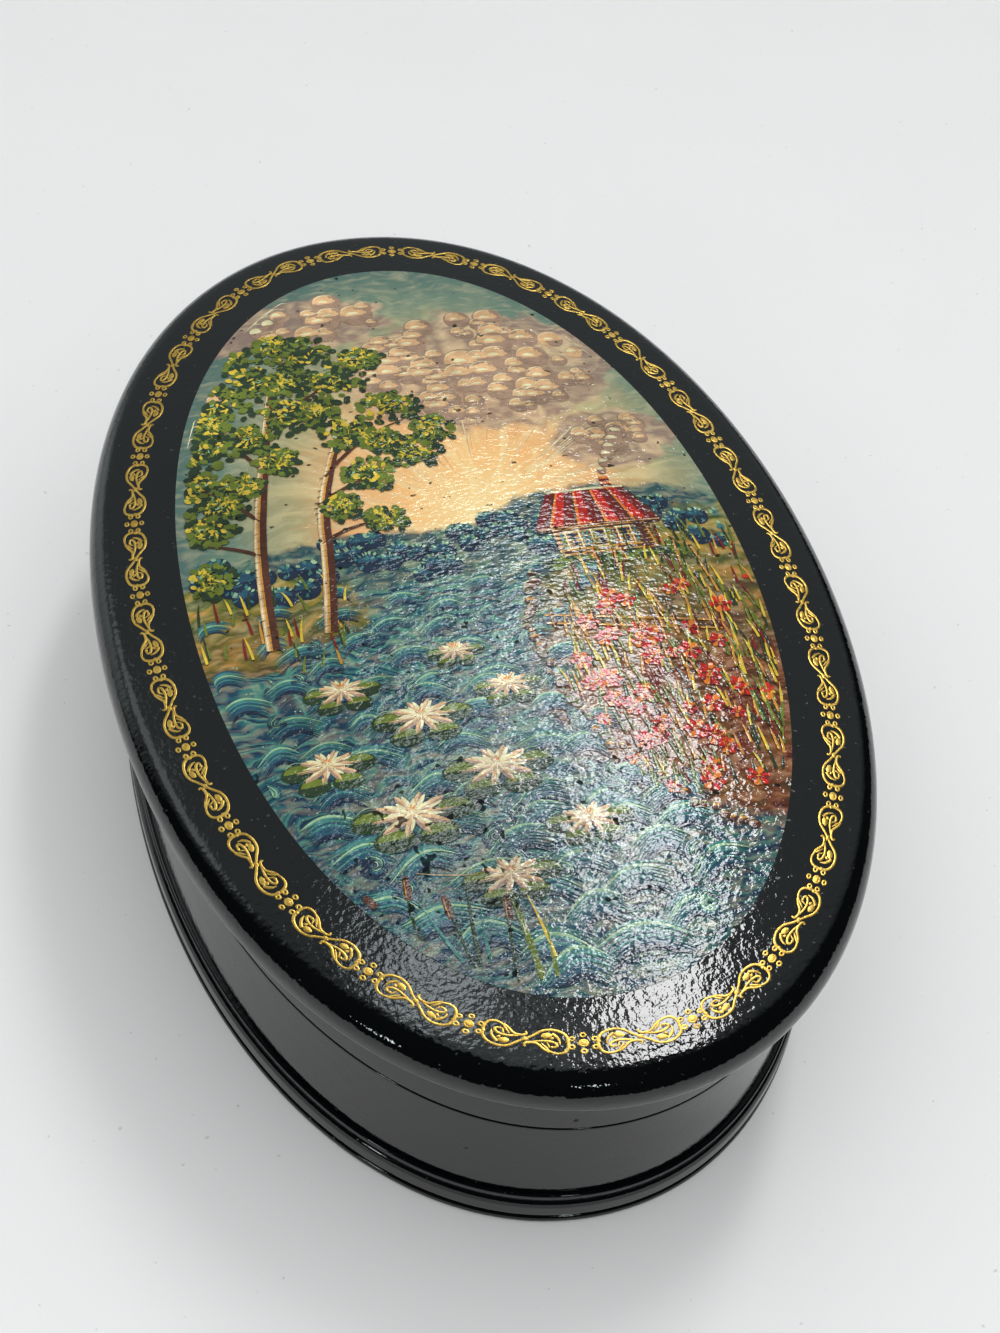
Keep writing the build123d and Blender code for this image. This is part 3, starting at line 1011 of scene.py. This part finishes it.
# River: ripples that follow the current, each hatched from dark to light in fine strokes that keep
# to its curve, some of them curling over at the end.
ripple_line = ((-0.55, -0.4), (-0.25, 0.3), (0.08, 0.5), (0.36, 0.1), (0.56, -0.5))
dark, mid, teal, pale = "deep_blue", "mid_blue", "teal", "pale_green"
ripple_paints = (
    (dark, dark, mid, mid, teal, mid, teal, teal, pale, teal),
    (dark, mid, mid, teal, mid, teal, pale, teal, teal, mid),
    (dark, dark, mid, mid, mid, teal, mid, teal, teal, pale),
)
rows = 17
for row in range(rows):
    coat += 7
    down = row / (rows - 1)
    size = 1.3 + 1.5 * down
    high = -1.5 - 58 * down
    count = 9 - int(3 * down)
    for number in range(count):
        x = -37 + 74 * (number + 0.5 + 0.5 * (row % 2)) / count + hand.uniform(-2, 2)
        y = high + hand.uniform(-1.6, 1.6)
        if x > 8 + abs(y + 22) * 0.4 and y > -46:
            continue
        way = hand.choice((1, 1, -1))
        length, slant = size * hand.uniform(2.8, 4.4), hand.uniform(-0.12, 0.3)
        paints = hand.choice(ripple_paints)
        for band, pot in enumerate(paints):
            drop = (9 - band) * size * 0.15
            reach = length * (1 - 0.03 * (9 - band)) * hand.uniform(0.9, 1.06)
            places = [
                (x + way * reach * along, y - drop + size * rise + way * slant * reach * along)
                for along, rise in ripple_line
            ]
            brush(pot, places, size * hand.uniform(0.14, 0.2), 0.15, 0.1, band * 6 // 10)
        if hand.random() < 0.42:
            curl_x, curl_y = x + way * length * 0.3, y + size * 0.05
            facing = math.radians(90 + way * 10)
            blob(dark, curl_x, curl_y - size * 0.1, size * 0.66, 3)
            for turn_in, pot in enumerate((mid, teal, pale, teal, pale)):
                reach, turns = size * (0.92 - 0.15 * turn_in), -way * (1.0 - 0.08 * turn_in)
                curl(pot, curl_x, curl_y, reach, facing, size * 0.13, turns, 3 + turn_in // 2)
        for drop in range(2):
            turn = hand.uniform(0, math.pi)
            dab(pale, *around(x, y, turn, size * 1.4, size * 0.8), 0.24, 1.0, 0.0, 6)

# Water lilies: petals drawn one by one from mauve up to cream round an ochre heart, on round
# leaves that lie on the water.
lilies = (  # place and size
    (-6, -13.5, 2.6), (-21, -16.5, 3.4), (-1, -20, 3.2), (-12.5, -22.5, 4.4), (-25, -27, 4.0),
    (-5.5, -31.5, 4.8), (-17, -36, 5.2), (3, -41, 3.8), (-8, -46.5, 4.2),
)
petal_layers = ((0.96, 10, "mauve"), (0.94, 10, "peach"), (0.76, 9, "cream"), (0.5, 7, "cream"))
for x, y, size in lilies:
    coat += 9
    for pad in range(4):
        pad_x, pad_y = around(x, y - 0.3, math.radians(170 + 65 * pad), size * 0.95, size * 0.6)
        pad_size = size * 0.46
        blob("leaf_dark", pad_x, pad_y - 0.15, pad_size * 1.08, 0, 0.62)
        blob("leaf_mid", pad_x, pad_y + 0.1, pad_size * 0.9, 1, 0.55)
        for vein in range(5):
            turn = math.radians(30 + 60 * vein)
            tip = around(pad_x, pad_y, turn, pad_size * 0.7, pad_size * 0.36)
            brush("leaf_yellow", [(pad_x, pad_y), tip], 0.14, 0.8, 0.1, 2)
        bow("pale_green", pad_x, pad_y, pad_size * 0.8, 60, 150, 0.14, 2)
    for layer, (reach, count, pot) in enumerate(petal_layers):
        lift = max(0, layer - 1) * 0.3
        shift = -0.18 if layer == 0 else 0.0
        for petal in range(count):
            turn = math.tau * (petal + 0.5 * (layer // 2)) / count
            tip_x, tip_y = around(x, y + lift, turn, size * reach, size * reach * 0.62)
            middle = (x * 0.4 + tip_x * 0.6, y * 0.4 + tip_y * 0.6 + 0.12 + shift)
            places = [(x, y + lift + shift), middle, (tip_x, tip_y + shift)]
            brush(pot, places, size * (0.3 - 0.03 * layer), 0.3, 0.12, 3 + layer)
    for petal in range(9):
        tip = around(x, y + 0.5, math.tau * (petal + 0.5) / 9, size * 0.5, size * 0.34)
        brush("mauve", [(x, y + 0.5), tip], 0.12, 0.5, 0.1, 7)
    for touch in range(9):
        turn = math.tau * touch / 9
        dab("ochre", *around(x, y + 0.8, turn, 0.5, 0.36), 0.42, 1.2, turn, 7)
        dab("orange", *around(x, y + 0.85, turn, 0.24, 0.18), 0.26, 1.2, turn, 8)

# Reeds: tall blades that stand in the near shallows, each one pull of the brush from root to tip,
# with a few brown heads among them.
coat += 4
for number in range(46):
    x = hand.uniform(-30, -6)
    y = -66 + hand.uniform(0, 9) + abs(x + 14) * 0.55
    lean, length = hand.uniform(-2.6, 2.2), hand.uniform(7, 14)
    pot, over = (("leaf_dark", 0), ("leaf_mid", 1), ("teal", 1), ("leaf_yellow", 2))[number % 4]
    places = [(x, y), (x + lean * 0.25, y + length * 0.5), (x + lean, y + length)]
    brush(pot, places, 0.62 - 0.1 * over, 0.9, 0.05, over)
for x, y, lean in ((-24, -49, -1.0), (-21, -47, 0.8), (-15.5, -50.5, -0.6), (-11, -52, 1.2)):
    top, head, tip = x + lean, x + lean * 1.2, x + lean * 1.3
    brush("leaf_dark", [(x, y - 8), (x + lean * 0.4, y - 3), (top, y + 1)], 0.36, 0.9, 0.9, 2)
    brush("brown", [(top, y), (head, y + 1.6), (tip, y + 3.2)], 1.15, 0.7, 0.6, 3)
    glint = [(top - 0.2, y + 0.4), (head - 0.2, y + 1.6), (tip - 0.2, y + 2.8)]
    brush("ochre", glint, 0.28, 0.5, 0.3, 4)

# Cottage: log walls in ochre over brown, a red roof brushed from ridge to eaves, windows with teal
# shutters, a chimney, and smoke that drifts off in puffs.
coat += 4
cottage_x, cottage_y, cottage_wide, cottage_high = 18.5, -1.0, 13.0, 6.2
left, right = cottage_x - cottage_wide / 2, cottage_x + cottage_wide / 2
eaves, ridge = cottage_y + cottage_high, cottage_y + cottage_high + 5.6


def level(pot, reach, y, rise, width, ends, over):
    """A level stroke across the cottage, a little higher in the middle."""
    places = [(cottage_x - reach, y), (cottage_x, y + rise), (cottage_x + reach, y)]
    brush(pot, places, width, *ends, over)


for number in range(26):
    x = left - 2 + (cottage_wide + 5) * number / 25
    pot = ("leaf_dark", "leaf_mid")[number % 2]
    blob(pot, x, cottage_y - 0.4 + hand.uniform(-0.6, 0.6), hand.uniform(0.7, 1.2), 0)
for log in range(8):
    y = cottage_y + cottage_high * (log + 0.5) / 8
    level("brown", cottage_wide / 2, y - 0.25, 0.03, 0.66, (1.0, 1.0), 1)
    level("ochre", cottage_wide / 2, y, 0.05, 0.56, (1.0, 0.6), 2)
    brush("peach", [(left + 0.4, y + 0.16), (cottage_x - 2, y + 0.2)], 0.14, 0.6, 0.2, 3)
    dab("peach", left + 0.1, y, 0.62, 1.0, 0.0, 3)
    dab("brown", right, y, 0.62, 1.0, 0.0, 3)
corner = [(right - 1.2, cottage_y), (right - 1.0, cottage_y + 3), (right - 1.2, eaves)]
brush("brown", corner, 2.0, 0.8, 0.8, 3)
level("brown", cottage_wide / 2 + 2, eaves - 1.1, 0.2, 0.9, (0.8, 0.8), 4)
planks = ("dark_red", "red", "dark_red", "red", "orange", "dark_red", "red", "brown")
for plank in range(36):
    low_x = cottage_x + (plank / 35 - 0.5) * (cottage_wide + 4)
    high_x = cottage_x + (plank / 35 - 0.5) * (cottage_wide - 2.5)
    middle = ((low_x + high_x) / 2, (ridge + eaves) / 2 - 0.2)
    places = [(high_x, ridge), middle, (low_x, eaves - 0.7)]
    brush(planks[plank * 5 % 8], places, 0.58, 0.8, 0.9, 5 + plank % 2)
for row in range(3):
    reach = cottage_wide / 2 + 1.2 - row * 0.6
    level("dark_red", reach, eaves + 1.0 + row * 1.5, 0.15, 0.22, (0.6, 0.6), 7)
level("cream", 5.4, ridge + 0.2, 0.15, 0.4, (0.8, 0.8), 7)
level("peach", cottage_wide / 2 + 2, eaves - 0.9, 0.2, 0.32, (0.8, 0.8), 7)
for window_x in (-4.2, -0.6, 3.0):
    x, y = cottage_x + window_x, cottage_y
    brush("deep_blue", [(x, y + 1.8), (x, y + 3), (x, y + 4.2)], 1.4, 0.95, 0.95, 5)
    brush("ochre", [(x - 0.2, y + 2.0), (x - 0.2, y + 2.9)], 0.5, 0.8, 0.8, 6)
    for side in (-1, 1):
        frame_x, shutter_x = x + 0.95 * side, x + 1.5 * side
        brush("cream", [(frame_x, y + 1.4), (frame_x, y + 4.6)], 0.3, 0.9, 0.9, 7)
        brush("teal", [(shutter_x, y + 1.6), (shutter_x, y + 4.4)], 0.5, 0.9, 0.9, 6)
    for bar in (1.5, 3.0, 4.5):
        brush("cream", [(x - 1.1, y + bar), (x + 1.1, y + bar)], 0.24, 0.9, 0.9, 7)
for row in range(6):
    y = ridge - 0.4 + row * 0.5
    places = [(cottage_x + 2.6, y), (cottage_x + 4.0, y)]
    brush("orange" if row % 2 else "dark_red", places, 0.5, 0.9, 0.9, 8)
for number in range(6):
    x, y, puff = cottage_x + 3.6 + number * 0.9, ridge + 3.6 + number * 1.5, 0.7 + number * 0.16
    blob("mauve", x, y, puff, 8)
    blob("cream", x - 0.15, y + 0.2, puff * 0.66, 9)
coat += 9

# Banks: grass in short upright strokes, a fence, and red and orange flowers that thicken towards
# the water, with a shore of small stones.
grasses = (
    ("leaf_dark", 0), ("leaf_mid", 1), ("leaf_mid", 1), ("ochre", 1), ("dark_red", 0),
    ("leaf_yellow", 2),
)
for row in range(9):
    coat += 4
    high = 0 - 4.6 * row
    for number in range(64):
        x, y = hand.uniform(3, 36), high + hand.uniform(-2.6, 2.6)
        if number % 5 == 0 and high > -12:
            x = hand.uniform(-37, -17)
        elif x < 6 + abs(y + 20) * 0.3:
            continue
        lean, length = hand.uniform(-0.7, 0.7), hand.uniform(1.4, 3.2)
        pot, over = hand.choice(grasses)
        places = [(x, y - 1), (x + lean * 0.4, y + length * 0.5), (x + lean * 1.4, y + length)]
        brush(pot, places, 0.42, 0.8, 0.05, over)
    if row < 2:
        continue
    for number in range(5 + row):
        x, y = hand.uniform(7, 36), high + hand.uniform(-2.2, 2.2)
        if x < 7 + abs(y + 22) * 0.34:
            continue
        size = hand.uniform(1.1, 1.9)
        blob("dark_red", x, y - 0.1, size * 0.72, 1)
        for petal in range(6):
            turn = math.tau * petal / 6 + number
            pot = ("red", "orange", "red")[(petal + number) % 3]
            dab(pot, *around(x, y, turn, size * 0.5, size * 0.46), size * 0.55, 1.4, turn, 2)
        dab("leaf_yellow", x, y, size * 0.36, 1.0, 0.0, 3)
    if row == 3:
        for post in range(9):
            x, y = 7.5 + post * 2.6, -11 - 0.5 * post + 0.5 * math.sin(post)
            brush("brown", [(x, y - 1.6), (x, y), (x + 0.1, y + 1.9)], 0.62, 0.9, 0.7, 2)
            brush("ochre", [(x - 0.15, y - 1.4), (x - 0.15, y), (x, y + 1.7)], 0.26, 0.9, 0.7, 3)
        for rail in (-0.5, 0.9):
            places = [(6.5, -11 + rail), (17.5, -13.4 + rail), (29.5, -15.4 + rail)]
            brush("ochre", places, 0.4, 0.8, 0.6, 2)
shore = ((7, -3), (4.5, -10), (5, -20), (9, -31), (16, -41), (26, -47), (33, -45))
coat += 4
for (x, y), (next_x, next_y) in zip(shore, shore[1:]):
    for touch in range(9):
        share = touch / 9
        stone_x = x + (next_x - x) * share + hand.uniform(-0.5, 0.5)
        stone_y = y + (next_y - y) * share + hand.uniform(-0.5, 0.5)
        size = hand.uniform(0.5, 1.0)
        blob("brown", stone_x, stone_y - 0.12, size, 0, 0.7)
        pot = hand.choice(("ochre", "mauve", "leaf_mid"))
        blob(pot, stone_x - 0.1, stone_y + 0.06, size * 0.7, 1, 0.6)
        bow("cream", stone_x, stone_y, size * 0.8, 60, 150, 0.14, 2)

# Birches: two slim pale trunks with dark dashes, thin boughs, and leaves dabbed in round sprays
# from dark to light.
coat += 4
trunks = (
    ((-28, -8), (-27, 6), (-24, 20), (-19, 38)),
    ((-20.5, -7), (-18, 5), (-17, 16), (-11, 29)),
)
bark = ((0.45, "brown", 1.5), (0.1, "ochre", 1.15), (-0.1, "peach", 0.85), (-0.25, "cream", 0.35))
for trunk in trunks:
    for over, (offset, pot, width) in enumerate(bark):
        brush(pot, [(x + offset, y) for x, y in trunk], width, 1.0, 0.2, over)
    for mark in range(34):
        whole, part = divmod(mark * 3 / 34, 1)
        (low_x, low_y), (high_x, high_y) = trunk[int(whole) : int(whole) + 2]
        x, y = low_x * (1 - part) + high_x * part, low_y * (1 - part) + high_y * part
        x += hand.uniform(-0.25, 0.4)
        brush("brown", [(x - 0.35, y), (x, y + 0.12), (x + 0.35, y)], 0.24, 0.4, 0.2, 4)
boughs = (
    ((-25, 14), (-28.5, 20), (-32, 22)), ((-23, 24), (-27, 31), (-28, 38)),
    ((-21, 30), (-16, 36), (-9, 39)), ((-17, 15), (-11, 19), (-4, 20)),
    ((-15, 20), (-9, 27), (-2, 29)), ((-19.5, 36), (-17, 44), (-12, 48)),
    ((-26, 8), (-30, 11), (-34, 12)), ((-18, 8), (-13, 11), (-9, 10)),
)
for bough in boughs:
    brush("brown", bough, 0.6, 0.9, 0.2, 3)
sprays = [
    (-32, 22, 3.4), (-29.5, 29, 4.0), (-31.5, 14, 3.0), (-26.5, 37.5, 4.4), (-20.5, 42, 4.6),
    (-13, 46, 4.0), (-10, 39, 4.4), (-17, 33.5, 3.8), (-3.5, 32, 3.6), (-10, 28, 3.6),
    (-2.5, 22.5, 3.4), (-9, 19.5, 3.2), (-23, 29.5, 3.2), (-20.5, 24.5, 2.8), (1.5, 26.5, 2.6),
    (-26, 21, 2.8), (-5, 43, 2.8), (-33, 5.5, 2.8), (-9, 10.5, 2.4), (-14, 14, 2.4), (-23, 48, 2.8),
    (-33.5, 30, 2.4), (-29, 18, 2.6), (-34, 26, 2.0), (-28, 33.5, 2.6), (-16.5, 40, 2.8),
    (-13, 33, 2.4), (-6, 25.5, 2.4), (-16, 48.5, 2.6), (-35, 18, 2.0),
]
leaf_coats = (  # paint, leaves, reach as a share of the spray's, lift and size
    ("leaf_dark", 30, 1.2, -0.4, 0.85),
    ("leaf_mid", 44, 1.12, 0.1, 0.8),
    ("leaf_yellow", 22, 0.85, 0.45, 0.66),
    ("pale_green", 5, 0.7, 0.7, 0.4),
)
for x, y, size in sprays:
    coat += 1
    for touch in range(5):
        turn, away = hand.uniform(0, math.tau), size * 0.5 * hand.random()
        blob("leaf_dark", *around(x, y - 0.4, turn, away, away * 0.7), size * 0.38, 0, 0.8)
    for over, (pot, count, reach, lift, width) in enumerate(leaf_coats):
        for leaf in range(count):
            turn, away = hand.uniform(0, math.tau), size * reach * hand.random() ** 0.55
            leaf_x, leaf_y = around(x - lift * 0.6, y + lift, turn, away, away * 0.85)
            leaf_size = width * hand.uniform(0.7, 1.3)
            dab(pot, leaf_x, leaf_y, leaf_size, 1.4, hand.uniform(0, 3), 4 + over)

# One fine scratch in the lacquer shows pale at the near left. It is drawn as a stroke over all the
# others.
coat += 9
brush("peach", [(-18.6, -43.8), (-15.5, -45.0), (-11.8, -45.6)], 0.16, 0.3, 0.3)

# The strokes become paint: thin, laid on the dome coat over coat, and each pot with its own colour,
# thinner and thicker from place to place.
paint_flatness, paint_depth = 0.16, 0.008 * mm
pot_step = 0.00002 * mm
coat_step = 0.0004 * mm
pot_skin = ground_depth + 0.01 * mm
for layer, (name, colour) in enumerate(pot_colours.items()):
    strokes = as_mesh(pots[name])
    for vertex in strokes.data.vertices:
        vertex.co *= mm
    lay_on_lid(strokes, pot_skin + layer * pot_step, paint_flatness, paint_depth, coat_step)
    material, place = new_material("paint_" + name)
    cloud = noise(place, 500.0, detail=3.0)
    fine = noise(streaked(place, (0.35, 1.0, 1.0), 0.5), 2600.0)
    drift = noise(place, 55.0)
    tone = paint(*colour)
    thin, thick = [part * 0.55 for part in tone], [min(1.0, part * 1.25 + 0.01) for part in tone]
    tone = mix((cloud * 1.3 + fine * 0.8 + drift * 1.6 - 1.35).clamped(), thin, thick)
    painted(material, place, tone, fine * 0.06, fine)
    finish_piece(strokes, material, "lid", "painting")

# The hinge is brass, drawn and a little tarnished: two leaves bent round one pin, let into the wall
# and the rim at the left side. Its pieces keep the CAD's shape.
for node in ("hinge_leaf_body", "hinge_leaf_lid", "hinge_pin"):
    material, place = new_material("brass_of_" + node)
    cloud = noise(place, 300.0, detail=3.0)
    drawn = noise(streaked(place, (1.0, 0.05, 1.0)), 5000.0, detail=1.0)
    tarnish = noise(place, 700.0, detail=4.0).above(0.6, 0.15)
    colour = mix(cloud, (0.66, 0.43, 0.16), (0.80, 0.56, 0.24))
    colour = mix(tarnish * 0.5, colour, (0.22, 0.13, 0.05))
    bump = relief(0.2, 0.02 * mm, drawn)
    rough = cloud * 0.15 + tarnish * 0.2 + 0.18
    surface(material, Base_Color=colour, Metallic=1.0, Roughness=rough, Normal=bump)
    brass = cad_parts[node]
    brass.data.materials.clear()
    brass.data.materials.append(material)

low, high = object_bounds()
